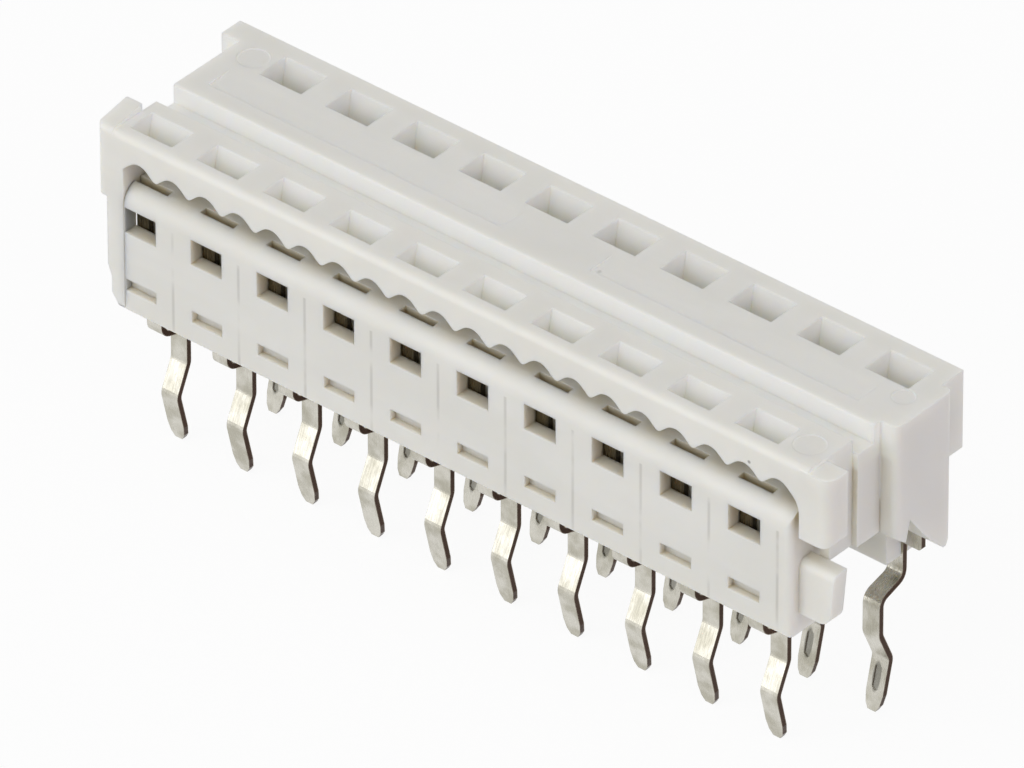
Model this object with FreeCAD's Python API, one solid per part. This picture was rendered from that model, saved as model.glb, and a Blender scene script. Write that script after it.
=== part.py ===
"""A twenty-way connector that joins a flat ribbon cable to a circuit board.

Millimetres. +Z is up, away from the board. The origin lies on the board, about midway between
the two rows of solder tails. +X runs along the connector, and -Y is the side that takes the cable.
Front terminals serve the odd wires and rear terminals the even ones. The cover stands raised
over the base, open for the cable, as the connector is delivered.
"""
import FreeCAD, Part
import math
import os

V = FreeCAD.Vector

# Wires of the cable
WIRE_COUNT = 20
WIRE_PITCH = 1.27
TERMINALS_PER_ROW = WIRE_COUNT // 2
FIRST_WIRE_X = -WIRE_PITCH * (WIRE_COUNT - 1) / 2
LAST_WIRE_X = -FIRST_WIRE_X

# Terminal: one stamped and bent strip
TERMINAL_SHIFT_X = 0.03
ROW_MIDDLE_Y = 0.04
STRIP_THICKNESS = 0.19
FORK_Y = 2.37
FORK_HALF_WIDTH = 0.60
FORK_TIP_Z = 6.05
FORK_SHOULDER_Z = 4.20
FORK_SLOT = 0.26
FORK_SLOT_CORNER = 0.08
FORK_MOUTH = 0.62
FORK_MOUTH_DEPTH = 0.38
FORK_TIP_BEVEL = 0.22
PLATE_BOTTOM_Z = 2.42
BAR_REACH = 0.96
BAR_HEIGHT = 0.65
BAR_CORNER = 0.08
BARB = 0.04
BARB_HEIGHT = 0.30
TAIL_WIDTH = 0.62
NECK_WIDTH = 0.56
NECK_TAPER = 0.20
TAIL_INNER_Y = 1.30
TAIL_KINK_Y = 1.77
TAIL_END_Y = 1.36
JOG_TOP_Z = 1.20
JOG_BOTTOM_Z = 0.89
KINK_TOP_Z = -0.36
KINK_Z = -1.40
TAIL_TIP_Z = -3.12
TAIL_TIP_WIDTH = 0.26
TAIL_NOSE_WIDTH = 0.50
TAIL_NOSE = 0.20
TAIL_TAPER = 0.55
BEND_RADIUS = 0.35
COIN_START = 0.28
COIN_LENGTH = 0.85
COIN_WIDTH = 0.25
COIN_CORNER = 0.09
COIN_DEPTH = 0.04

# Base: the moulding that holds the terminals. A reach runs beyond the outer wire's middle
BASE_END_WALL = 0.03
BASE_RIGHT_REACH = 0.465
BASE_RIGHT_X = LAST_WIRE_X + BASE_RIGHT_REACH
BASE_REAR_RIGHT_REACH = 0.285
BASE_REAR_RIGHT_X = LAST_WIRE_X + BASE_REAR_RIGHT_REACH
BASE_HALF_DEPTH = 2.96
BASE_BOTTOM_Z = 2.00
BASE_CORNER = 0.22
BED_Z = 6.38
LIP_RADIUS = 0.62
BASE_EDGE = 0.12
WALL_INNER_Y = 1.60
SPINE_SETBACK = 1.165
SPINE_END_X = LAST_WIRE_X - SPINE_SETBACK
BRIDGE_Z = 4.60
POCKET_GAP = 0.04
WINDOW_WIDTH = 1.19
BASE_LEFT_X = FIRST_WIRE_X + TERMINAL_SHIFT_X - WINDOW_WIDTH / 2 - BASE_END_WALL
WINDOW_BOTTOM_Z = 4.80
WINDOW_TOP_Z = 5.68
SLOT_WIDTH = 1.17
SLOT_BOTTOM_Z = 2.75
SLOT_TOP_Z = 3.15
SLOT_DEPTH = 0.24
LUG_REACH = 1.30
LUG_TAPER = 0.17
LUG_FRONT_Y = -2.55
LUG_BACK_Y = -1.98
LUG_BOTTOM_Z = 2.70
LUG_TOP_Z = 4.57
LUG_TOP_RADIUS = 0.28
LUG_FOOT_RADIUS = 0.45

# Cover: the moulding that presses the wires on to the forks
LEG_GAP = 0.02
COVER_BOTTOM_Z = 5.70
FRONT_TOP_Z = 8.20
REAR_TOP_Z = 8.40
GROOVE_FLOOR_Z = 7.75
GROOVE_FRONT_Y = -0.97
GROOVE_BACK_Y = -0.24
COVER_REAR_Y = 3.53
COVER_LEFT_REACH = 1.015
COVER_LEFT_X = FIRST_WIRE_X - COVER_LEFT_REACH
COVER_RIGHT_REACH = 1.085
COVER_RIGHT_X = LAST_WIRE_X + COVER_RIGHT_REACH
SOFT_EDGE = 0.22
CRISP_EDGE = 0.06
MOUTH_RIGHT_REACH = 0.775
MOUTH_RIGHT_X = LAST_WIRE_X + MOUTH_RIGHT_REACH
MOUTH_END_RADIUS = 0.75
TOOTH_Z = 7.05
TOOTH_RADIUS = 0.14
CREST_RADIUS = 0.48
FLANK_ANGLE = 48.6
REAR_WALL_GAP = 0.06
POCKET_FLOOR_Z = 7.48
POCKET_WIDTH = 1.53
POCKET_SHIFT = 0.05
FRONT_POCKET_Y = (-2.46, -1.56)
REAR_POCKET_Y = (1.80, 2.89)
POCKET_DRAFT = 0.04
POCKET_LEAN = 0.16
THROAT_LEDGE = 0.08
RECESS_DEPTH = 0.12
RECESS_FRONT_Y = 0.40
RECESS_BACK_Y = 1.40
RECESS_LEFT_REACH = 0.265
RECESS_RIGHT_REACH = 0.135
RECESS_GAP_LEFT_X = -1.10
RECESS_GAP_RIGHT_X = 2.25
EJECTOR_DEPTH = 0.03
EJECTOR_SIDES = 24
EJECTOR_RADIUS = 0.50
SMALL_EJECTOR_RADIUS = 0.36
FRONT_EJECTOR_REACH = 0.315
FRONT_EJECTOR_Y = -1.92
LEFT_EJECTOR_REACH = 0.125
LEFT_EJECTOR_Y = 2.29
RIGHT_EJECTOR_REACH = 1.035
RIGHT_EJECTOR_Y = 1.38
FRONT_TAB_REACH = 1.61
FRONT_TAB_X = FIRST_WIRE_X - FRONT_TAB_REACH
FRONT_TAB_BACK_Y = -1.62
FRONT_TAB_BACK_Z = 8.44
FRONT_TAB_BOTTOM_Z = 5.78
REAR_TAB_REACH = 1.695
REAR_TAB_X = FIRST_WIRE_X - REAR_TAB_REACH
REAR_TAB_FRONT_Y = 2.66
COLUMN_REACH = 1.895
COLUMN_X = LAST_WIRE_X + COLUMN_REACH
COLUMN_BACK_Y = -2.10
COLUMN_RADIUS = 0.46
COLUMN_FOOT_RADIUS = 0.30
COLUMN_TOP_Z = 8.09
REAR_CORNER_REACH = 1.50
REAR_CORNER_X = LAST_WIRE_X + REAR_CORNER_REACH
REAR_BLOCK_FRONT_Y = 0.05
REAR_BLOCK_BACK_Y = 2.52
REAR_BLOCK_EDGE = 0.18
STEP_REACH = 1.275
STEP_X = LAST_WIRE_X + STEP_REACH
STEP_FRONT_Y = -0.95
END_PLATE_FRONT_Y = -1.95
END_PLATE_Z = 4.51
BLOCK_INNER_REACH = 0.735
BLOCK_INNER_X = LAST_WIRE_X + BLOCK_INNER_REACH
BLOCK_FOOT_Z = 3.90
BLOCK_LEAD_Z = 4.15
BLOCK_LEAD_Y = 0.50
NOTCH_TOP_Z = 4.86
NOTCH_TOP_Y = 0.67
NOTCH_BACK_Y = 1.39
TOE_FRONT_Y = 2.18
TOE_BACK_Y = 2.29
TOE_Z = 3.07
TOE_HEEL_Z = 3.40
LEG_INNER_X = BASE_LEFT_X - LEG_GAP
LEG_OUT_REACH = 1.255
LEG_OUT_X = FIRST_WIRE_X - LEG_OUT_REACH
LEG_HIP_REACH = 1.115
LEG_HIP_X = FIRST_WIRE_X - LEG_HIP_REACH
LEG_TIP_REACH = 0.855
LEG_TIP_X = FIRST_WIRE_X - LEG_TIP_REACH
LEG_HIP_Z = 3.38
LEG_WAIST_Z = 3.01
LEG_KNEE_Z = 2.45
LEG_TIP_Z = 2.08
LEG_THICKNESS = 0.50
LEG_SLANT_Z = 3.08

# How far cutting tools and joined pieces run past the faces they meet
CUT = 1.0

# Widest angle one chord of a small rounding may span, in degrees
CHORD_ANGLE = 17


def wire_x(wire):
    """Middle of a wire, counted from 0 at the left."""
    return FIRST_WIRE_X + WIRE_PITCH * wire


def front_x():
    """Middles of the front terminals."""
    return [wire_x(2 * i) + TERMINAL_SHIFT_X for i in range(TERMINALS_PER_ROW)]


def rear_x():
    """Middles of the rear terminals."""
    return [wire_x(2 * i + 1) + TERMINAL_SHIFT_X for i in range(TERMINALS_PER_ROW)]


def box(x0, x1, y0, y1, z0, z1):
    """Box between two corners."""
    return Part.makeBox(x1 - x0, y1 - y0, z1 - z0, V(x0, y0, z0))


def in_xy(a, b):
    return V(a, b, 0)


def in_xz(a, b):
    return V(a, 0, b)


def in_yz(a, b):
    return V(0, a, b)


def outline(points, plane):
    """Closed face in a plane, from corners (a, b) or rounded corners (a, b, radius)."""
    starts, ends, arcs = [], [], []
    count = len(points)
    for i, point in enumerate(points):
        corner = plane(point[0], point[1])
        before = points[i - 1]
        after = points[(i + 1) % count]
        radius = point[2] if len(point) > 2 else 0
        if not radius:
            starts.append(corner)
            ends.append(corner)
            arcs.append(None)
            continue
        to_before = (plane(before[0], before[1]) - corner).normalize()
        to_after = (plane(after[0], after[1]) - corner).normalize()
        half = to_before.getAngle(to_after) / 2
        reach = radius / math.tan(half)
        middle = (to_before + to_after).normalize() * (radius / math.sin(half) - radius)
        starts.append(corner + to_before * reach)
        ends.append(corner + to_after * reach)
        arcs.append(corner + middle)
    edges = []
    for i in range(count):
        if arcs[i]:
            edges.append(Part.Arc(starts[i], arcs[i], ends[i]).toShape())
        following = starts[(i + 1) % count]
        if (following - ends[i]).Length > 1e-6:
            edges.append(Part.LineSegment(ends[i], following).toShape())
    return Part.Face(Part.Wire(edges))


def chorded(points):
    """The same corners, each rounding drawn as short chords."""
    count = len(points)
    result = []
    for i, point in enumerate(points):
        if len(point) < 3:
            result.append(point)
            continue
        corner = V(point[0], point[1], 0)
        before = points[i - 1]
        after = points[(i + 1) % count]
        to_before = (V(before[0], before[1], 0) - corner).normalize()
        to_after = (V(after[0], after[1], 0) - corner).normalize()
        half = to_before.getAngle(to_after) / 2
        reach = point[2] / math.tan(half)
        centre = corner + (to_before + to_after).normalize() * (point[2] / math.sin(half))
        first = corner + to_before * reach - centre
        last = corner + to_after * reach - centre
        sweep = math.copysign(math.pi - 2 * half, first.cross(last).z)
        steps = math.ceil(abs(math.degrees(sweep)) / CHORD_ANGLE)
        for k in range(steps + 1):
            angle = sweep * k / steps
            across = first.x * math.cos(angle) - first.y * math.sin(angle)
            up = first.x * math.sin(angle) + first.y * math.cos(angle)
            result.append((centre.x + across, centre.y + up))
    return result


def prism_x(points, x0, x1):
    """Profile in the YZ plane, drawn out along X."""
    face = outline(points, in_yz)
    face.translate(V(x0, 0, 0))
    return face.extrude(V(x1 - x0, 0, 0))


def prism_y(points, y0, y1):
    """Profile in the XZ plane, drawn out along Y."""
    face = outline(points, in_xz)
    face.translate(V(0, y0, 0))
    return face.extrude(V(0, y1 - y0, 0))


def prism_z(points, z0, z1):
    """Profile in the XY plane, drawn out along Z."""
    face = outline(points, in_xy)
    face.translate(V(0, 0, z0))
    return face.extrude(V(0, 0, z1 - z0))


def strip(route, thickness, radius):
    """Side view of a bent strip in the YZ plane: its middle line with a bend at each corner."""
    sides = []
    for side in (1, -1):
        points = []
        for i, (y, z) in enumerate(route):
            here = V(y, z, 0)
            ways = []
            if i > 0:
                ways.append((here - V(*route[i - 1], 0)).normalize())
            if i < len(route) - 1:
                ways.append((V(*route[i + 1], 0) - here).normalize())
            normal = V(0, 0, 0)
            for way in ways:
                normal = normal + V(-way.y, way.x, 0)
            normal.normalize()
            shrink = normal.dot(V(-ways[0].y, ways[0].x, 0))
            spot = here + normal * (side * thickness / 2 / shrink)
            if len(ways) == 1:
                points.append((spot.x, spot.y))
                continue
            turn = ways[0].cross(ways[1]).z
            bend = radius - thickness / 2 if turn * side > 0 else radius + thickness / 2
            points.append((spot.x, spot.y, bend))
        sides.append(points)
    return chorded(sides[0] + sides[1][::-1])


def terminal():
    """Rear terminal in its own frame: fork, plate with a bar to +X, and a kinked solder tail."""
    route = [
        (FORK_Y, FORK_TIP_Z),
        (FORK_Y, JOG_TOP_Z),
        (TAIL_INNER_Y, JOG_BOTTOM_Z),
        (TAIL_INNER_Y, KINK_TOP_Z),
        (TAIL_KINK_Y, KINK_Z),
        (TAIL_END_Y, TAIL_TIP_Z),
    ]
    side_view = prism_x(strip(route, STRIP_THICKNESS, BEND_RADIUS), -CUT - BAR_REACH, CUT + BAR_REACH)
    tail = TAIL_WIDTH / 2
    neck = NECK_WIDTH / 2
    nose = TAIL_NOSE_WIDTH / 2
    slot = FORK_SLOT / 2
    bar_top = PLATE_BOTTOM_Z + BAR_HEIGHT
    right_side = [
        (TAIL_TIP_WIDTH / 2, TAIL_TIP_Z),
        (nose, TAIL_TIP_Z + TAIL_NOSE),
        (tail, TAIL_TIP_Z + TAIL_TAPER),
        (tail, JOG_BOTTOM_Z),
        (neck, JOG_TOP_Z + NECK_TAPER),
        (neck, PLATE_BOTTOM_Z),
    ]
    bar = [
        (BAR_REACH - BAR_CORNER, PLATE_BOTTOM_Z),
        (BAR_REACH, PLATE_BOTTOM_Z + BAR_CORNER),
        (BAR_REACH, bar_top - BAR_CORNER),
        (BAR_REACH - BAR_CORNER, bar_top),
        (FORK_HALF_WIDTH, bar_top),
    ]
    prong = [
        (FORK_HALF_WIDTH, FORK_SHOULDER_Z - BARB_HEIGHT),
        (FORK_HALF_WIDTH + BARB, FORK_SHOULDER_Z),
        (FORK_HALF_WIDTH, FORK_SHOULDER_Z),
        (FORK_HALF_WIDTH, FORK_TIP_Z - FORK_TIP_BEVEL),
        (FORK_HALF_WIDTH - FORK_TIP_BEVEL / 2, FORK_TIP_Z),
        (FORK_MOUTH / 2, FORK_TIP_Z),
        (slot, FORK_TIP_Z - FORK_MOUTH_DEPTH),
        (slot, FORK_SHOULDER_Z + FORK_SLOT_CORNER),
        (slot - FORK_SLOT_CORNER, FORK_SHOULDER_Z),
    ]
    shoulder = [(FORK_HALF_WIDTH, PLATE_BOTTOM_Z)]
    left_side = [(-across, up) for across, up in right_side + shoulder + prong]
    blank = right_side + bar + prong + left_side[::-1]
    front_view = prism_y(blank, 0, FORK_Y + CUT)
    return side_view.common(front_view).cut(coined_groove())


def coined_groove():
    """Long groove pressed into the inner face of the tail, between its kink and its tip."""
    kink = V(0, TAIL_KINK_Y, KINK_Z)
    along = (V(0, TAIL_END_Y, TAIL_TIP_Z) - kink).normalize()
    inward = V(0, along.z, -along.y)
    start = kink + along * COIN_START + inward * (STRIP_THICKNESS / 2 - COIN_DEPTH)
    side = [
        (0, COIN_WIDTH / 2 - COIN_CORNER),
        (COIN_CORNER, COIN_WIDTH / 2),
        (COIN_LENGTH - COIN_CORNER, COIN_WIDTH / 2),
        (COIN_LENGTH, COIN_WIDTH / 2 - COIN_CORNER),
    ]
    other_side = [(down, -across) for down, across in side[::-1]]
    corners = [start + along * down + V(across, 0, 0) for down, across in side + other_side]
    face = Part.Face(Part.makePolygon(corners + corners[:1]))
    return face.extrude(inward * (2 * COIN_DEPTH))


def place_in_row(piece, x, turn):
    """Move a piece of the rear row to its place. A turn of 180 takes it to the front row."""
    piece.rotate(V(0, 0, 0), V(0, 0, 1), turn)
    piece.translate(V(x, ROW_MIDDLE_Y, 0))
    return piece


def terminal_pocket():
    """Room for a rear terminal in the base, from its seat up to the bed."""
    y0 = FORK_Y - STRIP_THICKNESS / 2 - POCKET_GAP
    y1 = FORK_Y + STRIP_THICKNESS / 2 + POCKET_GAP
    half = FORK_HALF_WIDTH + BARB
    bar_room = BAR_REACH + POCKET_GAP
    bar_top = PLATE_BOTTOM_Z + BAR_HEIGHT + POCKET_GAP
    tail = TAIL_WIDTH / 2 + POCKET_GAP
    shape = [
        (-tail, BASE_BOTTOM_Z - CUT),
        (tail, BASE_BOTTOM_Z - CUT),
        (tail, PLATE_BOTTOM_Z),
        (bar_room, PLATE_BOTTOM_Z),
        (bar_room, bar_top),
        (half, bar_top),
        (half, BED_Z + CUT),
        (-half, BED_Z + CUT),
        (-half, PLATE_BOTTOM_Z),
        (-tail, PLATE_BOTTOM_Z),
    ]
    return prism_y(shape, y0, y1)


def wall_section():
    """Front wall and cable lip in the YZ plane."""
    return [
        (-BASE_HALF_DEPTH, BASE_BOTTOM_Z, BASE_EDGE),
        (-WALL_INNER_Y, BASE_BOTTOM_Z),
        (-WALL_INNER_Y, BED_Z),
        (-BASE_HALF_DEPTH, BED_Z, LIP_RADIUS),
    ]


def wall(left, right):
    """Front wall between two ends, its right front corner rounded."""
    plan = [
        (left, -BASE_HALF_DEPTH),
        (right, -BASE_HALF_DEPTH, BASE_CORNER),
        (right, -WALL_INNER_Y),
        (left, -WALL_INNER_Y),
    ]
    rounded = prism_z(plan, BASE_BOTTOM_Z - CUT, BED_Z + CUT)
    return prism_x(wall_section(), left, right).common(rounded)


def lug():
    """Lug at the front wall's right end, under the cover's column."""
    x0 = BASE_RIGHT_X - CUT
    x1 = BASE_RIGHT_X + LUG_REACH
    front_view = [
        (x0, LUG_BOTTOM_Z),
        (x1 - LUG_TAPER, LUG_BOTTOM_Z, LUG_FOOT_RADIUS),
        (x1, LUG_TOP_Z),
        (x0, LUG_TOP_Z),
    ]
    side_view = [
        (LUG_FRONT_Y, LUG_BOTTOM_Z),
        (LUG_BACK_Y, LUG_BOTTOM_Z),
        (LUG_BACK_Y, LUG_TOP_Z),
        (LUG_FRONT_Y, LUG_TOP_Z, LUG_TOP_RADIUS),
    ]
    return prism_y(front_view, LUG_FRONT_Y, LUG_BACK_Y).common(prism_x(side_view, x0, x1))


def base():
    """Base moulding with its terminal pockets, windows, slots and lugs."""
    rear_wall = wall(-BASE_REAR_RIGHT_X, -BASE_LEFT_X - POCKET_GAP)
    rear_wall.rotate(V(0, 0, 0), V(0, 0, 1), 180)
    spine = box(-SPINE_END_X, SPINE_END_X, -WALL_INNER_Y, WALL_INNER_Y, BASE_BOTTOM_Z, BED_Z)
    bridge = box(BASE_LEFT_X, BASE_REAR_RIGHT_X, -WALL_INNER_Y, WALL_INNER_Y, BRIDGE_Z, BED_Z)
    rear_lug = lug()
    rear_lug.rotate(V(0, 0, 0), V(0, 0, 1), 180)
    front_wall = wall(BASE_LEFT_X, BASE_RIGHT_X)
    body = front_wall.multiFuse([rear_wall, spine, bridge, lug(), rear_lug]).removeSplitter()
    return body.cut(Part.makeCompound(base_cutters())).removeSplitter()


def base_cutters():
    """Everything that is open in the base."""
    pocket_face = FORK_Y + STRIP_THICKNESS / 2
    outside = BASE_HALF_DEPTH + CUT
    tools = []
    for xs, turn in ((rear_x(), 0), (front_x(), 180)):
        for x in xs:
            window = box(-WINDOW_WIDTH / 2, WINDOW_WIDTH / 2, pocket_face, outside,
                         WINDOW_BOTTOM_Z, WINDOW_TOP_Z)
            tools.append(place_in_row(terminal_pocket().fuse(window), x, turn))
            slot = box(-SLOT_WIDTH / 2, SLOT_WIDTH / 2, BASE_HALF_DEPTH - SLOT_DEPTH, outside,
                       SLOT_BOTTOM_Z, SLOT_TOP_Z)
            slot.rotate(V(0, 0, 0), V(0, 0, 1), turn)
            slot.translate(V(x, 0, 0))
            tools.append(slot)
    return tools


def cover_plan():
    """Plan of the cover's upper block in the XY plane, without its column and front tab."""
    front = -BASE_HALF_DEPTH
    return [
        (COVER_LEFT_X, front),
        (COVER_RIGHT_X, front),
        (COVER_RIGHT_X, STEP_FRONT_Y),
        (STEP_X, STEP_FRONT_Y),
        (STEP_X, REAR_BLOCK_FRONT_Y, CRISP_EDGE),
        (COLUMN_X, REAR_BLOCK_FRONT_Y, SOFT_EDGE),
        (COLUMN_X, REAR_BLOCK_BACK_Y, REAR_BLOCK_EDGE),
        (REAR_CORNER_X, REAR_BLOCK_BACK_Y),
        (REAR_CORNER_X, COVER_REAR_Y, CRISP_EDGE),
        (REAR_TAB_X, COVER_REAR_Y, CRISP_EDGE),
        (REAR_TAB_X, REAR_TAB_FRONT_Y),
        (COVER_LEFT_X, REAR_TAB_FRONT_Y),
    ]


def cover_section():
    """Section of the cover's upper block in the YZ plane, with the groove along its top."""
    front = -BASE_HALF_DEPTH
    return [
        (front, COVER_BOTTOM_Z),
        (COVER_REAR_Y, COVER_BOTTOM_Z, CRISP_EDGE),
        (COVER_REAR_Y, REAR_TOP_Z, CRISP_EDGE),
        (GROOVE_BACK_Y, REAR_TOP_Z, CRISP_EDGE),
        (GROOVE_BACK_Y, GROOVE_FLOOR_Z),
        (GROOVE_FRONT_Y, GROOVE_FLOOR_Z),
        (GROOVE_FRONT_Y, FRONT_TOP_Z, CRISP_EDGE),
        (front, FRONT_TOP_Z, SOFT_EDGE),
    ]


def mouth_section():
    """Cable mouth in the XZ plane: a crest over each wire and a tooth between wires."""
    flank = math.radians(FLANK_ANGLE)
    lift = 1 / math.sin(flank) - 1
    tooth = TOOTH_Z - TOOTH_RADIUS * lift
    apex = tooth + WIRE_PITCH / 2 / math.tan(flank)
    low = COVER_BOTTOM_Z - CUT
    left_run = wire_x(0) - LEG_INNER_X
    points = [(LEG_INNER_X, low), (LEG_INNER_X, apex - left_run / math.tan(flank))]
    for wire in range(WIRE_COUNT - 1):
        points.append((wire_x(wire), apex, CREST_RADIUS))
        points.append((wire_x(wire) + WIRE_PITCH / 2, tooth, TOOTH_RADIUS))
    points.append((wire_x(WIRE_COUNT - 1), apex, CREST_RADIUS))
    right_run = MOUTH_RIGHT_X - wire_x(WIRE_COUNT - 1)
    points.append((MOUTH_RIGHT_X, apex - right_run / math.tan(flank), MOUTH_END_RADIUS))
    points.append((MOUTH_RIGHT_X, low))
    return chorded(points)


def drafted_pocket(x, y_span, top):
    """Pocket over a fork: wider at its mouth, its rear wall leaning, a throat through its floor."""
    y0, y1 = y_span
    half = POCKET_WIDTH / 2
    middle = x + POCKET_SHIFT
    wires = []
    for z, grow, lean in ((POCKET_FLOOR_Z, 0, POCKET_LEAN), (top, POCKET_DRAFT, 0)):
        corners = [
            V(middle - half - grow, y0 - grow, z),
            V(middle + half + grow, y0 - grow, z),
            V(middle + half + grow, y1 + grow - lean, z),
            V(middle - half - grow, y1 + grow - lean, z),
        ]
        wires.append(Part.makePolygon(corners + corners[:1]))
    pocket = Part.makeLoft(wires, True, True)
    throat = box(middle - half + THROAT_LEDGE, middle + half - THROAT_LEDGE,
                 y0 + THROAT_LEDGE, y1 - POCKET_LEAN - THROAT_LEDGE, COVER_BOTTOM_Z, POCKET_FLOOR_Z)
    return pocket.fuse(throat)


def ejector_mark(x, y, top, radius):
    """Shallow round mark in the cover's top."""
    turns = [2 * math.pi * k / EJECTOR_SIDES for k in range(EJECTOR_SIDES)]
    ring = [(x + radius * math.cos(turn), y + radius * math.sin(turn)) for turn in turns]
    return prism_z(ring, top - EJECTOR_DEPTH, top + EJECTOR_DEPTH)


def cover_cutters():
    """Everything that is open in the cover."""
    rear_wall_y = BASE_HALF_DEPTH + REAR_WALL_GAP
    tools = [prism_y(mouth_section(), -BASE_HALF_DEPTH - CUT, rear_wall_y)]
    tools += [drafted_pocket(x, FRONT_POCKET_Y, FRONT_TOP_Z) for x in front_x()]
    tools += [drafted_pocket(x, REAR_POCKET_Y, REAR_TOP_Z) for x in rear_x()]
    wedge = [
        (RECESS_FRONT_Y, REAR_TOP_Z - RECESS_DEPTH),
        (RECESS_BACK_Y, REAR_TOP_Z),
        (RECESS_FRONT_Y, REAR_TOP_Z + CUT),
    ]
    tools += [
        prism_x(wedge, FIRST_WIRE_X - RECESS_LEFT_REACH, RECESS_GAP_LEFT_X),
        prism_x(wedge, RECESS_GAP_RIGHT_X, LAST_WIRE_X + RECESS_RIGHT_REACH),
        ejector_mark(LAST_WIRE_X + FRONT_EJECTOR_REACH, FRONT_EJECTOR_Y, FRONT_TOP_Z, EJECTOR_RADIUS),
        ejector_mark(FIRST_WIRE_X - LEFT_EJECTOR_REACH, LEFT_EJECTOR_Y, REAR_TOP_Z, EJECTOR_RADIUS),
        ejector_mark(LAST_WIRE_X + RIGHT_EJECTOR_REACH, RIGHT_EJECTOR_Y, REAR_TOP_Z, SMALL_EJECTOR_RADIUS),
    ]
    return tools


def left_leg():
    """Leg at the front left, flush with the base's front face, its tip slanted."""
    top = COVER_BOTTOM_Z + CUT
    front_view = [
        (LEG_INNER_X, LEG_TIP_Z),
        (LEG_TIP_X, LEG_TIP_Z),
        (LEG_HIP_X, LEG_KNEE_Z),
        (LEG_HIP_X, LEG_WAIST_Z),
        (LEG_OUT_X, LEG_HIP_Z),
        (LEG_OUT_X, top),
        (LEG_INNER_X, top),
    ]
    front = -BASE_HALF_DEPTH
    back = front + LEG_THICKNESS
    side_view = [
        (front, LEG_TIP_Z),
        (front, top),
        (back, top),
        (back, LEG_SLANT_Z),
    ]
    return prism_y(front_view, front, back).common(prism_x(side_view, LEG_OUT_X, LEG_INNER_X))


def column():
    """Column at the cover's front right corner, its top a little lower than the block."""
    plan = [
        (MOUTH_RIGHT_X, -BASE_HALF_DEPTH),
        (COLUMN_X, -BASE_HALF_DEPTH, COLUMN_RADIUS),
        (COLUMN_X, COLUMN_BACK_Y, CRISP_EDGE),
        (MOUTH_RIGHT_X, COLUMN_BACK_Y),
    ]
    front_view = [
        (MOUTH_RIGHT_X, COVER_BOTTOM_Z),
        (COLUMN_X, COVER_BOTTOM_Z, COLUMN_FOOT_RADIUS),
        (COLUMN_X, COLUMN_TOP_Z),
        (MOUTH_RIGHT_X, COLUMN_TOP_Z),
    ]
    upright = prism_z(plan, COVER_BOTTOM_Z, COLUMN_TOP_Z)
    return upright.common(prism_y(front_view, -BASE_HALF_DEPTH, COLUMN_BACK_Y))


def front_tab():
    """Tab at the cover's front left corner, its top rising to the back."""
    front = -BASE_HALF_DEPTH
    plan = [
        (FRONT_TAB_X, front, SOFT_EDGE),
        (COVER_LEFT_X, front),
        (COVER_LEFT_X, FRONT_TAB_BACK_Y),
        (FRONT_TAB_X, FRONT_TAB_BACK_Y, CRISP_EDGE),
    ]
    side_view = [
        (front, FRONT_TAB_BOTTOM_Z),
        (FRONT_TAB_BACK_Y, FRONT_TAB_BOTTOM_Z),
        (FRONT_TAB_BACK_Y, FRONT_TAB_BACK_Z),
        (front, FRONT_TOP_Z, SOFT_EDGE),
    ]
    upright = prism_z(plan, FRONT_TAB_BOTTOM_Z, FRONT_TAB_BACK_Z)
    return upright.common(prism_x(side_view, FRONT_TAB_X, COVER_LEFT_X))


def rear_block_foot():
    """Lower end of the thick block at the rear right, with its notch and toe, in the YZ plane."""
    top = COVER_BOTTOM_Z + CUT
    return [
        (REAR_BLOCK_FRONT_Y, END_PLATE_Z),
        (BLOCK_LEAD_Y, BLOCK_LEAD_Z),
        (NOTCH_TOP_Y, NOTCH_TOP_Z),
        (NOTCH_BACK_Y, BLOCK_FOOT_Z),
        (TOE_FRONT_Y, TOE_Z),
        (TOE_BACK_Y, TOE_Z),
        (REAR_BLOCK_BACK_Y, TOE_HEEL_Z),
        (REAR_BLOCK_BACK_Y, top),
        (REAR_BLOCK_FRONT_Y, top),
    ]


def cover_ends():
    """Legs, end plates, column and tab at the ends of the cover's block."""
    top = COVER_BOTTOM_Z + CUT
    inner = BLOCK_INNER_X
    block_plan = [
        (inner, REAR_BLOCK_FRONT_Y),
        (COLUMN_X, REAR_BLOCK_FRONT_Y, SOFT_EDGE),
        (COLUMN_X, REAR_BLOCK_BACK_Y, REAR_BLOCK_EDGE),
        (inner, REAR_BLOCK_BACK_Y),
    ]
    block = prism_x(rear_block_foot(), inner, COLUMN_X)
    block = block.common(prism_z(block_plan, TOE_Z - CUT, top))
    return [
        left_leg(),
        block,
        column(),
        front_tab(),
        box(inner, COVER_RIGHT_X, END_PLATE_FRONT_Y, STEP_FRONT_Y, END_PLATE_Z, top),
        box(inner, STEP_X, STEP_FRONT_Y, REAR_BLOCK_FRONT_Y, END_PLATE_Z, top),
    ]


def cover():
    """Cover moulding: block, cable mouth, fork pockets, end legs and plates."""
    section = prism_x(cover_section(), REAR_TAB_X - CUT, COLUMN_X + CUT)
    plan = prism_z(cover_plan(), COVER_BOTTOM_Z - CUT, REAR_TOP_Z + CUT)
    block = section.common(plan)
    block = block.cut(Part.makeCompound(cover_cutters()))
    return block.multiFuse(cover_ends()).removeSplitter()


def export(shape, name):
    """Write one piece to its own file."""
    solid = shape.Solids[0] if len(shape.Solids) == 1 else shape
    solid.exportStep(f"parts/{name}.step")


def main():
    os.makedirs("parts", exist_ok=True)
    export(base(), "base")
    export(cover(), "cover")
    for i, (front, rear) in enumerate(zip(front_x(), rear_x())):
        export(place_in_row(terminal(), front, 180), f"terminal_{2 * i + 1:02d}")
        export(place_in_row(terminal(), rear, 0), f"terminal_{2 * i + 2:02d}")


main()
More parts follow.
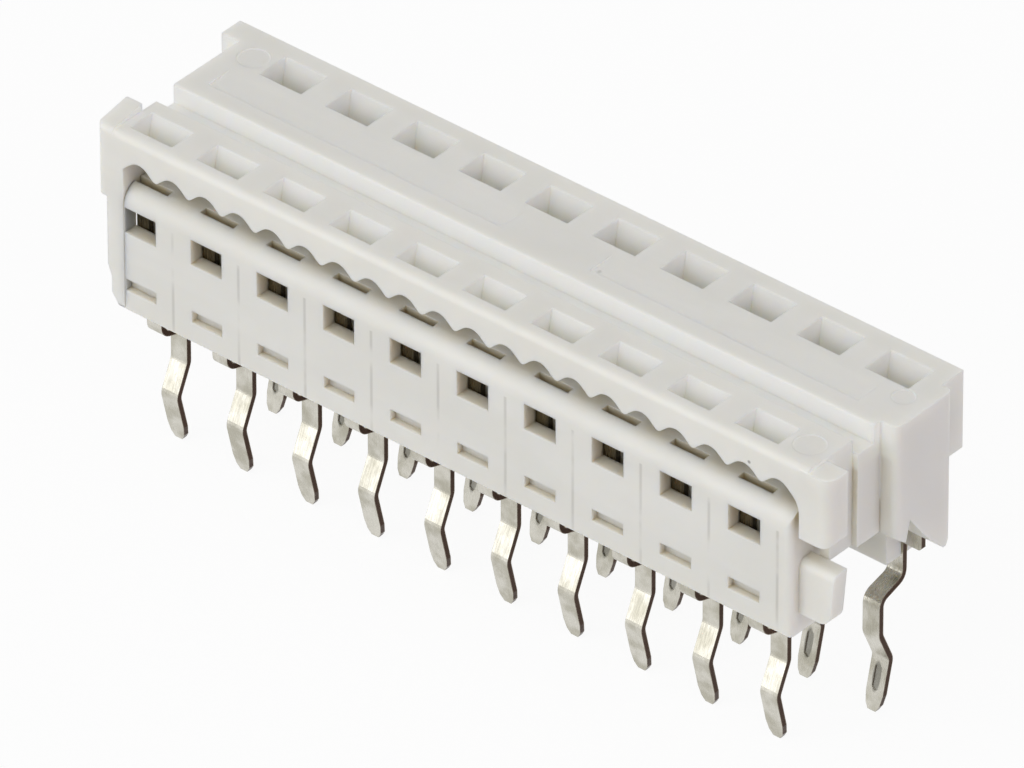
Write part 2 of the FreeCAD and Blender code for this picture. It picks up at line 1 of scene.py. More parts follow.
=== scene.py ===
"""Finishes, soft edges, studio and camera for a twenty-way ribbon cable connector.

Metres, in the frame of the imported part: +X runs along the connector, -Y is the side that takes
the cable and +Z points away from the circuit board.
"""

import math

import bmesh
import bpy
from bpy.props import FloatProperty, FloatVectorProperty, PointerProperty
from mathutils import Matrix, Vector


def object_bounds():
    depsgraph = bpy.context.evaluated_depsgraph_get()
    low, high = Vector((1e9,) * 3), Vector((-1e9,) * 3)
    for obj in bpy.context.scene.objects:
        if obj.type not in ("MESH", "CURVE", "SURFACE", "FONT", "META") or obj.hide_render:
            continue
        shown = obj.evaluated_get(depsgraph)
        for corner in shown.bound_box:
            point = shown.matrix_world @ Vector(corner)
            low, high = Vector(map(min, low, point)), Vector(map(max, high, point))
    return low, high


bl_info = {
    "name": "Ribbon cable connector",
    "version": (1, 0, 0),
    "blender": (4, 5, 0),
    "location": "View3D > Sidebar > Connector",
    "description": "Dresses the packed connector in white moulded plastic and tinned bronze",
    "category": "Object",
}

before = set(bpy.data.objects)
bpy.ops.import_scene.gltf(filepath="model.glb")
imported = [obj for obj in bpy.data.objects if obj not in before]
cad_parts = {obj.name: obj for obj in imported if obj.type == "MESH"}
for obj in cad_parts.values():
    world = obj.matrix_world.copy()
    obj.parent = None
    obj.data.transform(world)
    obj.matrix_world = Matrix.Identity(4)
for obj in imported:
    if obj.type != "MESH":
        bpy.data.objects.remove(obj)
CAD_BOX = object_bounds()

MM = 0.001
MOULDINGS = ("base", "cover")
TERMINALS = tuple(name for name in sorted(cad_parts) if name.startswith("terminal_"))

# Places on the connector that the materials follow

WIRE_PITCH = 1.27 * MM
FIRST_WIRE_X = -9.5 * WIRE_PITCH
WALL_TOP_Z = 5.6 * MM
MOUTH_FADE_LOW_Z = WALL_TOP_Z - 1.0 * MM
MOUTH_FADE_HIGH_Z = WALL_TOP_Z - 0.2 * MM
POCKET_Z = 7.4 * MM
POCKET_FADE = 0.3 * MM
POCKET_LIGHT_RISE = 0.6 * MM
SEAT_Z = 3.0 * MM
SEAT_FADE = 0.6 * MM
COIN_Z = -2.05 * MM
COIN_HALF_WIDTH = 0.15 * MM
COIN_HALF_LENGTH = 0.52 * MM

# Each speck on the mouldings: its centre, its radius and how dark it is

SPECKS = (
    ((11.00 * MM, -2.96 * MM, 7.52 * MM), 0.07 * MM, 0.7),
    ((-13.67 * MM, -2.85 * MM, 8.05 * MM), 0.10 * MM, 0.7),
    ((2.42 * MM, 0.61 * MM, 8.31 * MM), 0.10 * MM, 0.35),
)
SPECK_RAGGEDNESS = 0.8

# Marks that moulding and rolling leave, as noise: sizes, and stretch along X, Y and Z

RAGGED_RIM_SIZE = MM / 3
LINE_BREAK_SIZE = MM / 0.9
TIN_PATCH_SIZE = MM / 1.6
CLOUD_STRETCH = (0.35, 1.0, 1.0)
CLOUD_HEIGHT = 2.5
ROLLED_STRETCH = (1.0, 0.12, 0.06)
ROLLED_HEIGHT = 0.002 * MM
MOULDED_BUMP = 0.35
ROLLED_BUMP = 0.6

# Fades: the value where each one starts, and the value where it ends

END_SHADE_FACING = (0.5, 0.95)
WALL_FACING = (0.95, 0.99)
SHEARED_FACING = (0.6, 0.9)
INNER_FACING = (-0.8, -0.5)
CAVITY_SHADE_OPENNESS = (0.05, 0.65)
POCKET_LIGHT_OPENNESS = (0.55, 0.95)
CLOUD_CONTRAST = (0.3, 0.7)
LINE_BREAK_CONTRAST = (0.3, 0.6)
ROLLED_CONTRAST = (0.35, 0.65)
TIN_PATCH_CONTRAST = (0.35, 0.68)
SPECK_RIM = (0.35, 1.0)
PANEL_LINE_RIM = (0.2, 1.0)
COIN_RIM = (0.6, 1.1)
BAND_LIKENESS = (0.90, 0.99)
WINDOW_LIGHT_SIDES = (0.45 * MM, -0.15 * MM)

# Surfaces: how roughness strays from its setting, and how plastic bends and passes light

PLASTIC_STRAY = (-0.05, 0.06)
TIN_STRAY = (-0.07, 0.1)
PLASTIC_IOR = 1.53
LIGHT_DEPTH_BY_COLOUR = (1.0, 0.9, 0.72)
MIDDLE_OF_NOISE = 0.5
WHITE = (1, 1, 1, 1)

# Rays that each shading point sends out, kept few so that a render stays quick

CAVITY_RAYS = 3
SOFT_EDGE_RAYS = 2
BAND_RAYS = 3

# The studio: where each lamp stands, by azimuth and elevation in degrees, and its width

LAMPS = {
    "front": (-10, 46, 420 * MM),
    "low": (-33, 15, 250 * MM),
    "side": (75, 30, 280 * MM),
    "back": (190, 6, 420 * MM),
}
LAMP_DISTANCE = 450 * MM
FLOOR_HALF_WIDTH = 4.0
FLOOR_ROUGHNESS = 0.9
SENSOR_WIDTH = 36.0
CLIP_START = 0.01
CLIP_END = 20.0


# Shader building

def add(tree, kind, inputs=None, **settings):
    """Puts a node into a tree. An input is a value, or another node's output."""
    made = tree.nodes.new("ShaderNode" + kind)
    for name, value in settings.items():
        setattr(made, name, value)
    set_inputs(tree, made, inputs or {})
    return made


def set_inputs(tree, node, inputs):
    """Gives a node's inputs their values, or links them to other nodes' outputs."""
    for name, value in inputs.items():
        if isinstance(value, bpy.types.NodeSocket):
            tree.links.new(value, node.inputs[name])
        else:
            node.inputs[name].default_value = value


def calculate(tree, operation, *values):
    """Math node with one to three numbers or outputs."""
    return add(tree, "Math", dict(enumerate(values)), operation=operation).outputs[0]


def ramp(tree, value, low, high, start=0.0, end=1.0):
    """Smooth step of a value between low and high, from start to end."""
    inputs = {"Value": value, "From Min": low, "From Max": high, "To Min": start, "To Max": end}
    return add(tree, "MapRange", inputs, interpolation_type="SMOOTHSTEP").outputs["Result"]


def blend_colour(tree, factor, first, second):
    """Colour between two colours."""
    made = add(tree, "Mix", {0: factor, 6: first, 7: second}, data_type="RGBA")
    return made.outputs[2]


def stretched(tree, position, stretch):
    """A position with each of its axes scaled."""
    return add(tree, "VectorMath", {0: position, 1: stretch}, operation="MULTIPLY").outputs[0]


def axes(tree, vector):
    """The X, Y and Z of a vector."""
    return add(tree, "SeparateXYZ", {"Vector": vector}).outputs


def opaque(plain_colour):
    """A colour of the settings as a shader takes it, with its fourth value."""
    return (*plain_colour, 1)


def new_group(name, inputs, outputs):
    """Empty shader group. inputs and outputs map a name to a socket kind and, for inputs, a default."""
    group = bpy.data.node_groups.new(name, "ShaderNodeTree")
    for label, (kind, default) in inputs.items():
        socket = group.interface.new_socket(label, in_out="INPUT", socket_type="NodeSocket" + kind)
        if default is not None:
            socket.default_value = default
    for label, kind in outputs.items():
        group.interface.new_socket(label, in_out="OUTPUT", socket_type="NodeSocket" + kind)
    source = group.nodes.new("NodeGroupInput")
    sink = group.nodes.new("NodeGroupOutput")
    return group, source.outputs, sink.inputs


def place_group(tree, group, inputs):
    """Outputs of a group that is placed in a material, with its inputs set."""
    made = tree.nodes.new("ShaderNodeGroup")
    made.node_tree = group
    set_inputs(tree, made, inputs)
    return made.outputs


def new_material(name):
    """Empty material, its tree and its shader."""
    material = bpy.data.materials.new(name)
    material.use_nodes = True
    tree = material.node_tree
    tree.nodes.clear()
    return material, tree, add(tree, "BsdfPrincipled")


def show(tree, surface, kind="Material"):
    """Links a shader to the output of its material or world."""
    tree.links.new(surface, add(tree, "Output" + kind).inputs["Surface"])


def bump(tree, shader, height, distance, strength, edge_radius):
    """Raises a surface by a height pattern and softens its edges."""
    soft = add(tree, "Bevel", {"Radius": edge_radius}, samples=SOFT_EDGE_RAYS).outputs["Normal"]
    made = add(tree, "Bump", {"Height": height, "Distance": distance, "Strength": strength, "Normal": soft})
    tree.links.new(made.outputs["Normal"], shader.inputs["Normal"])


# Shared effects

def spot_group():
    """Soft round spot with a ragged rim."""
    inputs = {
        "Position": ("Vector", None),
        "Centre": ("Vector", None),
        "Radius": ("Float", MM),
        "Ragged": ("Float", 0.0),
    }
    group, given, result = new_group("soft_spot", inputs, {"Mask": "Float"})
    away = add(group, "VectorMath", {0: given["Position"], 1: given["Centre"]}, operation="SUBTRACT")
    far = add(group, "VectorMath", {0: away.outputs[0]}, operation="LENGTH").outputs["Value"]
    noise = add(group, "TexNoise", {"Vector": given["Position"], "Scale": 1 / RAGGED_RIM_SIZE, "Detail": 2.0})
    push = calculate(group, "SUBTRACT", noise.outputs["Fac"], MIDDLE_OF_NOISE)
    push = calculate(group, "MULTIPLY", push, given["Ragged"])
    share_of_radius = calculate(group, "DIVIDE", far, given["Radius"])
    share_of_radius = calculate(group, "ADD", share_of_radius, push)
    group.links.new(ramp(group, share_of_radius, *SPECK_RIM, 1.0, 0.0), result["Mask"])
    return group


def moulding_group():
    """Fine grain and flow clouds of a moulded surface."""
    inputs = {
        "Position": ("Vector", None),
        "Grain Size": ("Float", 0.05 * MM),
        "Cloud Size": ("Float", 2.0 * MM),
    }
    group, given, result = new_group("moulded_surface", inputs, {"Height": "Float", "Clouds": "Float"})
    grain_scale = calculate(group, "DIVIDE", 1.0, given["Grain Size"])
    cloud_scale = calculate(group, "DIVIDE", 1.0, given["Cloud Size"])
    grain = add(group, "TexNoise", {"Vector": given["Position"], "Scale": grain_scale, "Detail": 3.0,
                                    "Roughness": 0.6}).outputs["Fac"]
    drawn_out = stretched(group, given["Position"], CLOUD_STRETCH)
    clouds = add(group, "TexNoise", {"Vector": drawn_out, "Scale": cloud_scale, "Detail": 4.0,
                                     "Distortion": 0.8}).outputs["Fac"]
    slow = calculate(group, "MULTIPLY", clouds, CLOUD_HEIGHT)
    group.links.new(calculate(group, "ADD", grain, slow), result["Height"])
    group.links.new(ramp(group, clouds, *CLOUD_CONTRAST), result["Clouds"])
    return group


def rolled_group():
    """Fine marks that rolling and stamping leave along a strip."""
    inputs = {"Position": ("Vector", None), "Line Size": ("Float", 0.03 * MM)}
    outputs = {"Height": "Float", "Lines": "Float", "Patches": "Float"}
    group, given, result = new_group("rolled_strip", inputs, outputs)
    scale = calculate(group, "DIVIDE", 1.0, given["Line Size"])
    drawn = stretched(group, given["Position"], ROLLED_STRETCH)
    lines = add(group, "TexNoise", {"Vector": drawn, "Scale": scale, "Detail": 3.0}).outputs["Fac"]
    patches = add(group, "TexNoise", {"Vector": given["Position"], "Scale": 1 / TIN_PATCH_SIZE,
                                      "Detail": 4.0}).outputs["Fac"]
    group.links.new(lines, result["Height"])
    group.links.new(ramp(group, lines, *ROLLED_CONTRAST), result["Lines"])
    group.links.new(ramp(group, patches, *TIN_PATCH_CONTRAST), result["Patches"])
    return group


def nearest_wire(tree, place, first):
    """Distance along X to the nearest of a row of places. The rear row is shifted by one wire."""
    behind = calculate(tree, "GREATER_THAN", place["Y"], 0.0)
    shift = calculate(tree, "MULTIPLY_ADD", behind, WIRE_PITCH, -first)
    return calculate(tree, "PINGPONG", calculate(tree, "ADD", place["X"], shift), WIRE_PITCH)


def panel_line_group():
    """Faint upright lines midway between the windows of a long wall."""
    inputs = {
        "Position": ("Vector", None),
        "Normal": ("Vector", None),
        "Width": ("Float", 0.08 * MM),
    }
    group, given, result = new_group("panel_lines", inputs, {"Mask": "Float"})
    place = axes(group, given["Position"])
    facing = calculate(group, "ABSOLUTE", axes(group, given["Normal"])["Y"])
    upright = ramp(group, facing, *WALL_FACING)
    away = nearest_wire(group, place, FIRST_WIRE_X + WIRE_PITCH)
    share_of_width = calculate(group, "DIVIDE", away, given["Width"])
    line = ramp(group, share_of_width, *PANEL_LINE_RIM, 1.0, 0.0)
    line = calculate(group, "MULTIPLY", line, upright)
    below_the_top = calculate(group, "LESS_THAN", place["Z"], WALL_TOP_Z)
    patchy = add(group, "TexNoise", {"Vector": given["Position"], "Scale": 1 / LINE_BREAK_SIZE})
    line = calculate(group, "MULTIPLY", line, below_the_top)
    line = calculate(group, "MULTIPLY", line, ramp(group, patchy.outputs["Fac"], *LINE_BREAK_CONTRAST))
    group.links.new(line, result["Mask"])
    return group


# The moulded plastic

def skin_colour(tree, settings, where, clouds):
    """Colour of the open skin: clouds, painted shade on the faces turned to the right end, lines between the
    windows, and specks.
    """
    colour = blend_colour(tree, clouds, opaque(settings.colour), opaque(settings.shade))
    # Painted shade: faces turned towards +X take a darker, pinker colour.
    shaded_end = ramp(tree, axes(tree, where["Normal"])["X"], *END_SHADE_FACING)
    colour = blend_colour(tree, shaded_end, colour, opaque(settings.end_shade))
    lines = place_group(tree, panel_line_group(), {"Position": where["Object"], "Normal": where["Normal"]})
    dark_line = calculate(tree, "MULTIPLY", lines["Mask"], settings.line_strength)
    colour = blend_colour(tree, dark_line, colour, opaque(settings.speck_colour))
    spot = spot_group()
    for centre, radius, strength in SPECKS:
        speck = place_group(tree, spot, {"Position": where["Object"], "Centre": centre, "Radius": radius,
                                         "Ragged": SPECK_RAGGEDNESS})
        speck_share = calculate(tree, "MULTIPLY", speck["Mask"], strength)
        colour = blend_colour(tree, speck_share, colour, opaque(settings.speck_colour))
    return colour


def painted_cavity_shade_and_pocket_light(tree, settings, height, colour):
    """Painted shade: brown deep in the windows and the mouth below. Painted light: near-white pocket walls
    above, darker towards the pocket floor.
    """
    open_sky = add(tree, "AmbientOcclusion", {"Distance": settings.cavity_depth}, samples=CAVITY_RAYS)
    open_sky = open_sky.outputs["AO"]
    above = ramp(tree, height, POCKET_Z - POCKET_FADE, POCKET_Z)
    below = calculate(tree, "SUBTRACT", 1.0, above)
    mouth = ramp(tree, height, MOUTH_FADE_LOW_Z, MOUTH_FADE_HIGH_Z, settings.window_shade_share, 1.0)
    lower_part = calculate(tree, "MULTIPLY", below, mouth)
    # Painted shade: the colour turns brown where little open sky is seen, in the windows and the mouth.
    deep = calculate(tree, "MULTIPLY", ramp(tree, open_sky, *CAVITY_SHADE_OPENNESS, 1.0, 0.0), lower_part)
    colour = blend_colour(tree, deep, colour, opaque(settings.cavity_shade))
    # Painted light: the pocket walls turn near white towards the top, with painted shade towards the pocket
    # floor.
    rise = ramp(tree, height, POCKET_Z, POCKET_Z + POCKET_LIGHT_RISE)
    wall = blend_colour(tree, rise, opaque(settings.pocket_low_shade), opaque(settings.pocket_light))
    painted_light = calculate(tree, "MULTIPLY", ramp(tree, open_sky, *POCKET_LIGHT_OPENNESS, 1.0, 0.0), above)
    return blend_colour(tree, painted_light, colour, wall)


def moulding_material(settings):
    """White moulded plastic with a little light passing through it."""
    material, tree, shader = new_material("white_moulded_plastic")
    where = add(tree, "TexCoord").outputs
    surface = place_group(tree, moulding_group(), {
        "Position": where["Object"],
        "Grain Size": settings.grain_size,
        "Cloud Size": settings.cloud_size,
    })
    colour = skin_colour(tree, settings, where, surface["Clouds"])
    # Painted shade in the cavities and painted light on the pocket walls.
    colour = painted_cavity_shade_and_pocket_light(tree, settings, axes(tree, where["Object"])["Z"], colour)
    smooth, rough = (settings.roughness + stray for stray in PLASTIC_STRAY)
    set_inputs(tree, shader, {
        "Base Color": colour,
        "Roughness": ramp(tree, surface["Clouds"], 0.0, 1.0, smooth, rough),
        "Subsurface Weight": settings.translucency,
        "Subsurface Radius": LIGHT_DEPTH_BY_COLOUR,
        "Subsurface Scale": settings.light_depth,
        "IOR": PLASTIC_IOR,
    })
    bump(tree, shader, surface["Height"], settings.grain_height, MOULDED_BUMP, settings.edge_radius)
    show(tree, shader.outputs["BSDF"])
    return material


# The tinned bronze

def sheared_colour(tree, settings, normal, colour):
    """Sheared sides of the strip: a smooth band along each edge, the dark fracture between them."""
    sheared = ramp(tree, calculate(tree, "ABSOLUTE", axes(tree, normal)["X"]), *SHEARED_FACING)
    soft = add(tree, "Bevel", {"Radius": settings.band_width}, samples=BAND_RAYS).outputs["Normal"]
    true_normal = add(tree, "NewGeometry").outputs["Normal"]
    alike = add(tree, "VectorMath", {0: soft, 1: true_normal}, operation="DOT_PRODUCT").outputs["Value"]
    fracture = calculate(tree, "MULTIPLY", sheared, ramp(tree, alike, *BAND_LIKENESS))
    colour = blend_colour(tree, sheared, colour, opaque(settings.burnished))
    return blend_colour(tree, fracture, colour, opaque(settings.sheared))


def coined_shade_mask(tree, place, normal):
    """Long oval on the inner face of each tail, where a groove is pressed in; it takes painted shade."""
    across = calculate(tree, "DIVIDE", nearest_wire(tree, place, FIRST_WIRE_X), COIN_HALF_WIDTH)
    along = calculate(tree, "DIVIDE", calculate(tree, "SUBTRACT", place["Z"], COIN_Z), COIN_HALF_LENGTH)
    oval = calculate(tree, "MULTIPLY_ADD", along, along, calculate(tree, "MULTIPLY", across, across))
    inward = calculate(tree, "MULTIPLY", axes(tree, normal)["Y"], calculate(tree, "SIGN", place["Y"]))
    inner_face = ramp(tree, inward, *INNER_FACING, 1.0, 0.0)
    return calculate(tree, "MULTIPLY", ramp(tree, oval, *COIN_RIM, 1.0, 0.0), inner_face)


def window_light_fade(tree, place):
    """Painted light across a window: from zero at one side to one at its other side, the same way round in
    both rows.
    """
    behind = calculate(tree, "GREATER_THAN", place["Y"], 0.0)
    shift = calculate(tree, "MULTIPLY_ADD", behind, WIRE_PITCH, -FIRST_WIRE_X)
    offset = calculate(tree, "ADD", place["X"], shift)
    offset = calculate(tree, "WRAP", offset, WIRE_PITCH, -WIRE_PITCH)
    offset = calculate(tree, "MULTIPLY", offset, calculate(tree, "SIGN", place["Y"]))
    return ramp(tree, offset, *WINDOW_LIGHT_SIDES)


def terminal_material(settings):
    """Tinned bronze strip whose sheared edges show the bare dark metal. Inside the base it takes painted
    shade, lighter at a window's side as painted light.
    """
    material, tree, shader = new_material("tinned_bronze")
    where = add(tree, "TexCoord").outputs
    place = axes(tree, where["Object"])
    surface = place_group(tree, rolled_group(), {"Position": where["Object"]})
    tin = blend_colour(tree, surface["Patches"], opaque(settings.tin), opaque(settings.tin_shade))
    colour = sheared_colour(tree, settings, where["Normal"], tin)
    # Painted shade in the pressed groove on each tail.
    coined_shading = calculate(tree, "MULTIPLY", coined_shade_mask(tree, place, where["Normal"]), settings.coined_shade_share)
    colour = blend_colour(tree, coined_shading, colour, opaque(settings.coined_shade))
    # Painted shade: above the seat the strip turns near black, with painted light towards one side of each
    # window.
    inside = blend_colour(tree, window_light_fade(tree, place), opaque(settings.seated_window_light), opaque(settings.seated_shade))
    seated_shade = ramp(tree, place["Z"], SEAT_Z, SEAT_Z + SEAT_FADE)
    smooth, rough = (settings.roughness + stray for stray in TIN_STRAY)
    set_inputs(tree, shader, {
        "Base Color": blend_colour(tree, seated_shade, colour, inside),
        "Metallic": 1.0,
        "Roughness": ramp(tree, surface["Lines"], 0.0, 1.0, smooth, rough),
    })
    bump(tree, shader, surface["Height"], ROLLED_HEIGHT, ROLLED_BUMP, settings.edge_radius)
    show(tree, shader.outputs["BSDF"])
    return material


def dress(name, material):
    """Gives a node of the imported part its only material."""
    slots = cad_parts[name].data.materials
    slots.clear()
    slots.append(material)


# Floor, world, lamps

def seen_plainly(tree):
    """One for a ray from the camera, or one that glances off or passes through something."""
    path = add(tree, "LightPath").outputs
    direct = calculate(tree, "MAXIMUM", path["Is Camera Ray"], path["Is Glossy Ray"])
    return calculate(tree, "MAXIMUM", direct, path["Is Transmission Ray"])


def floor_material(settings):
    """Pale floor that the camera sees nearly white, with the connector's shadow on it."""
    material, tree, shader = new_material("studio_floor")
    set_inputs(tree, shader, {"Base Color": opaque(settings.floor_colour), "Roughness": FLOOR_ROUGHNESS})
    glow = add(tree, "Emission", {"Color": WHITE, "Strength": 1.0})
    factor = calculate(tree, "MULTIPLY", seen_plainly(tree), settings.floor_glow)
    both = add(tree, "MixShader", {0: factor, 1: shader.outputs["BSDF"], 2: glow.outputs[0]})
    show(tree, both.outputs[0])
    return material


def studio_world(settings):
    """Even light from all round, white where it is seen."""
    world = bpy.data.worlds.new("studio")
    world.use_nodes = True
    tree = world.node_tree
    tree.nodes.clear()
    strength = ramp(tree, seen_plainly(tree), 0.0, 1.0, settings.ambient, 1.0)
    light = add(tree, "Background", {"Color": WHITE, "Strength": strength})
    show(tree, light.outputs[0], "World")
    return world


def direction(azimuth, elevation):
    """From the connector towards a place on the sphere round it."""
    flat = math.cos(elevation)
    return Vector((math.sin(azimuth) * flat, -math.cos(azimuth) * flat, math.sin(elevation)))


def softbox(name, back, width, energy, target):
    """Square lamp on the sphere round the connector, aimed at it."""
    lamp = bpy.data.lights.new(name, "AREA")
    lamp.shape = "SQUARE"
    lamp.size = width
    lamp.energy = energy
    made = bpy.data.objects.new(name, lamp)
    turn = back.to_track_quat("Z", "Y").to_matrix().to_4x4()
    made.matrix_world = Matrix.Translation(target + back * LAMP_DISTANCE) @ turn
    made.visible_camera = False
    bpy.context.scene.collection.objects.link(made)


# Settings

def length(name, description, default):
    """A size in metres."""
    return FloatProperty(name=name, description=description, default=default, subtype="DISTANCE",
                         unit="LENGTH")


def angle(name, description, default):
    """A turn, given here in degrees."""
    return FloatProperty(name=name, description=description, default=math.radians(default), subtype="ANGLE",
                         unit="ROTATION")


def share(name, description, default):
    """A share from none to all."""
    return FloatProperty(name=name, description=description, default=default, min=0, max=1, subtype="FACTOR")


def power(name, description, default):
    """A lamp's power in watts."""
    return FloatProperty(name=name, description=description, default=default, min=0, unit="POWER")


def colour(name, description, default):
    """A colour in linear red, green and blue."""
    return FloatVectorProperty(name=name, description=description, default=default, size=3, min=0, max=1,
                               subtype="COLOR")


class ConnectorMoulding(bpy.types.PropertyGroup):
    """White plastic of the base and the cover"""

    colour: colour("Colour", "Colour of the white plastic", (0.80, 0.79, 0.755))
    shade: colour("Shade", "Colour where the melt flowed last", (0.77, 0.76, 0.72))
    roughness: share("Roughness", "Roughness of the moulded skin", 0.42)
    translucency: share("Translucency", "Share of light that enters the plastic", 0.9)
    light_depth: length("Light depth", "How far light travels inside the plastic", 0.55 * MM)
    grain_size: length("Grain", "Size of the fine grain", 0.06 * MM)
    grain_height: length("Grain height", "Height of the fine grain", 0.004 * MM)
    cloud_size: length("Clouds", "Size of the flow clouds", 2.4 * MM)
    edge_radius: length("Soft edge", "Rounding seen on the moulded edges", 0.06 * MM)
    # Painted shade on the faces turned to the right end.
    end_shade: colour("End colour", "Colour of the faces at the right end", (0.775, 0.745, 0.73))
    line_strength: share("Line strength", "How dark the lines between the windows are", 0.24)
    speck_colour: colour("Specks", "Colour of specks and lines", (0.20, 0.18, 0.15))
    # Painted shade in windows, slots and the mouth: its colour, its reach and its share in the windows.
    cavity_shade: colour("Cavities", "Colour deep in windows, slots and the mouth", (0.48, 0.40, 0.22))
    cavity_depth: length("Cavity depth", "How far shade reaches out of a cavity", 1.3 * MM)
    window_shade_share: share("Window shade", "Share of that colour in the windows, below the mouth", 0.6)
    # Painted light on the pocket walls, and painted shade near their floor.
    pocket_light: colour("Pockets", "Colour of the polished walls of the pockets", (0.96, 0.955, 0.94))
    pocket_low_shade: colour("Pocket bottom", "Colour of the pocket walls near their floor",
                              (0.84, 0.83, 0.76))


class ConnectorTerminal(bpy.types.PropertyGroup):
    """Tinned strip of the terminals"""

    tin: colour("Tin", "Colour of the plating", (0.66, 0.64, 0.575))
    tin_shade: colour("Tin shade", "Colour of duller patches", (0.47, 0.45, 0.375))
    roughness: share("Roughness", "Roughness of the plating", 0.30)
    sheared: colour("Fracture", "Colour of the broken part of a sheared edge", (0.045, 0.022, 0.012))
    burnished: colour("Burnished band", "Colour of the smooth part of a sheared edge", (0.36, 0.30, 0.23))
    band_width: length("Band width", "Width of the burnished band", 0.05 * MM)
    # Painted shade in the pressed groove of each tail.
    coined_shade: colour("Coined groove", "Colour of the groove pressed into a tail", (0.20, 0.195, 0.17))
    coined_shade_share: share("Coined share", "How much the groove's colour covers the tin", 0.75)
    # Painted shade on the strip inside the base, and painted light at the window side.
    seated_shade: colour("Inside the base", "Colour of the part that sits inside the base", (0.03, 0.026, 0.02))
    seated_window_light: colour("Window side", "Colour where light from the window falls in", (0.20, 0.17, 0.11))
    edge_radius: length("Soft edge", "Rounding seen on the stamped edges", 0.02 * MM)


class ConnectorStudio(bpy.types.PropertyGroup):
    """Floor and lights round the connector"""

    ambient: FloatProperty(name="Ambient", description="Strength of the light from all round", default=0.5,
                           min=0)
    floor_colour: colour("Floor", "Colour of the floor", (0.95, 0.95, 0.95))
    floor_glow: share("Floor glow", "Share of plain white in what the camera sees of the floor", 0.92)
    front_energy: power("Front light", "Power of the light in front", 0.60)
    low_energy: power("Low light", "Power of the low light at the front left", 0.25)
    side_energy: power("Side light", "Power of the light at the right", 0.26)
    back_energy: power("Back light", "Power of the light behind", 0.26)


class ConnectorCamera(bpy.types.PropertyGroup):
    """View of the connector"""

    azimuth: angle("Azimuth", "Turn of the camera round the connector", 40.50)
    elevation: angle("Elevation", "Height of the camera above the horizon", 35.41)
    roll: angle("Roll", "Tilt of the camera about its own axis", 0.144)
    distance: length("Distance", "From the camera to the point it aims at", 539.3 * MM)
    lens: FloatProperty(name="Lens", description="Focal length in millimetres", default=657.5, min=1)
    aim: FloatVectorProperty(name="Aim", description="Point that the camera looks at", size=3, subtype="XYZ",
                             unit="LENGTH", default=(0.304 * MM, -0.780 * MM, 4.135 * MM))


# Operators

class CONNECTOR_OT_mouldings(bpy.types.Operator):
    """Dress the base and the cover in white plastic"""

    bl_idname = "connector.mouldings"
    bl_label = "Mouldings"

    def execute(self, context):
        material = moulding_material(context.scene.connector_moulding)
        for name in MOULDINGS:
            dress(name, material)
        return {"FINISHED"}


class CONNECTOR_OT_terminals(bpy.types.Operator):
    """Dress the terminals in tinned bronze"""

    bl_idname = "connector.terminals"
    bl_label = "Terminals"

    def execute(self, context):
        material = terminal_material(context.scene.connector_terminal)
        for name in TERMINALS:
            dress(name, material)
        return {"FINISHED"}


class CONNECTOR_OT_studio(bpy.types.Operator):
    """Build the floor, the world and the lamps"""

    bl_idname = "connector.studio"
    bl_label = "Studio"

    def execute(self, context):
        settings = context.scene.connector_studio
        low, high = CAD_BOX
        shape = bmesh.new()
        bmesh.ops.create_grid(shape, x_segments=1, y_segments=1, size=FLOOR_HALF_WIDTH)
        bmesh.ops.translate(shape, verts=shape.verts, vec=(0, 0, low.z))
        mesh = bpy.data.meshes.new("floor")
        shape.to_mesh(mesh)
        shape.free()
        floor = bpy.data.objects.new("floor", mesh)
        floor.data.materials.append(floor_material(settings))
        context.scene.collection.objects.link(floor)
        context.scene.world = studio_world(settings)
        for name, (azimuth, elevation, width) in LAMPS.items():
            back = direction(math.radians(azimuth), math.radians(elevation))
            energy = getattr(settings, name + "_energy")
            softbox(name + "_light", back, width, energy, (low + high) / 2)
        context.scene.view_settings.view_transform = "Standard"
        return {"FINISHED"}


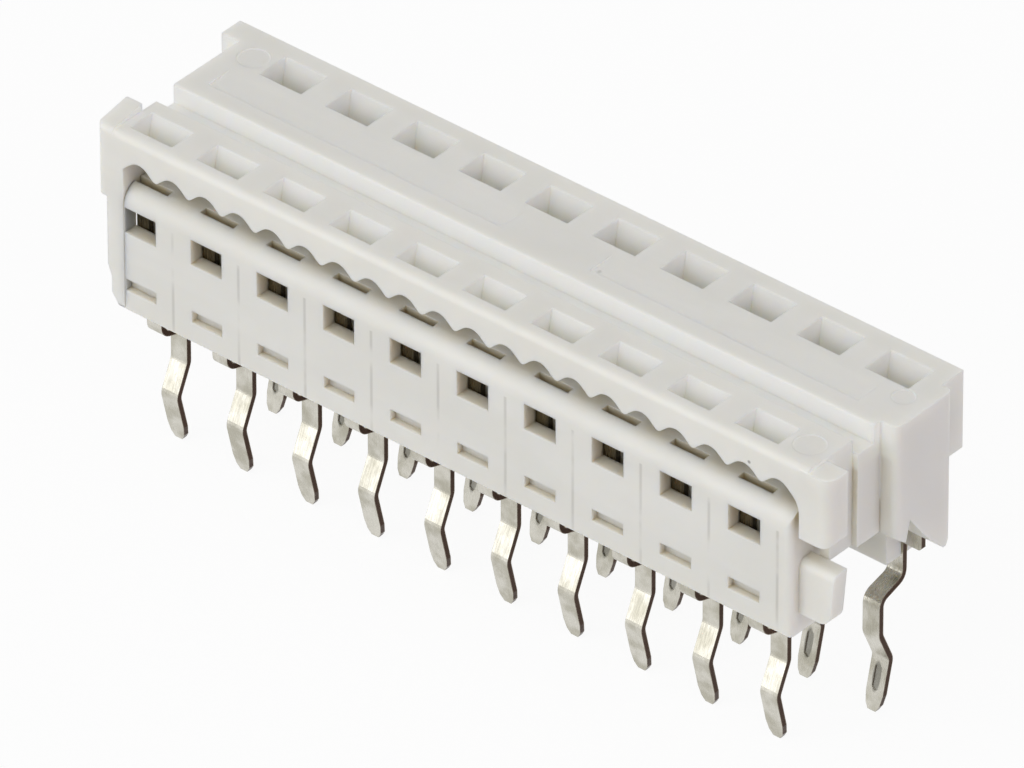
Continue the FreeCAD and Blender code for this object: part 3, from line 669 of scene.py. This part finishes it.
class CONNECTOR_OT_camera(bpy.types.Operator):
    """Place the camera"""

    bl_idname = "connector.camera"
    bl_label = "Camera"

    def execute(self, context):
        settings = context.scene.connector_camera
        lens = bpy.data.cameras.new("camera")
        lens.sensor_width = SENSOR_WIDTH
        lens.lens = settings.lens
        lens.clip_start = CLIP_START
        lens.clip_end = CLIP_END
        camera = bpy.data.objects.new("camera", lens)
        back = direction(settings.azimuth, settings.elevation)
        right = Vector((math.cos(settings.azimuth), math.sin(settings.azimuth), 0))
        turn = Matrix((right, back.cross(right), back)).transposed()
        turn = turn @ Matrix.Rotation(settings.roll, 3, "Z").transposed()
        place = Matrix.Translation(Vector(settings.aim) + back * settings.distance)
        camera.matrix_world = place @ turn.to_4x4()
        context.scene.collection.objects.link(camera)
        context.scene.camera = camera
        return {"FINISHED"}


class CONNECTOR_PT_panel(bpy.types.Panel):
    """Sizes, colours and steps of the connector"""

    bl_idname = "CONNECTOR_PT_panel"
    bl_label = "Ribbon cable connector"
    bl_space_type = "VIEW_3D"
    bl_region_type = "UI"
    bl_category = "Connector"

    def draw(self, context):
        for operator in OPERATORS:
            self.layout.operator(operator.bl_idname)
        for name in SETTINGS:
            group = getattr(context.scene, name)
            for key in group.bl_rna.properties.keys():
                if key not in ("rna_type", "name"):
                    self.layout.prop(group, key)


SETTINGS = {
    "connector_moulding": ConnectorMoulding,
    "connector_terminal": ConnectorTerminal,
    "connector_studio": ConnectorStudio,
    "connector_camera": ConnectorCamera,
}
OPERATORS = (
    CONNECTOR_OT_camera,
    CONNECTOR_OT_mouldings,
    CONNECTOR_OT_terminals,
    CONNECTOR_OT_studio,
)


def register():
    """Adds the settings, the operators and the panel to Blender."""
    for name, group in SETTINGS.items():
        bpy.utils.register_class(group)
        setattr(bpy.types.Scene, name, PointerProperty(type=group))
    for operator in OPERATORS:
        bpy.utils.register_class(operator)
    bpy.utils.register_class(CONNECTOR_PT_panel)


def unregister():
    """Takes them out again."""
    bpy.utils.unregister_class(CONNECTOR_PT_panel)
    for operator in reversed(OPERATORS):
        bpy.utils.unregister_class(operator)
    for name, group in reversed(SETTINGS.items()):
        delattr(bpy.types.Scene, name)
        bpy.utils.unregister_class(group)


def main():
    """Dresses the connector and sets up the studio."""
    register()
    bpy.ops.connector.camera()
    bpy.ops.connector.mouldings()
    bpy.ops.connector.terminals()
    bpy.ops.connector.studio()


if __name__ == "__main__":
    main()
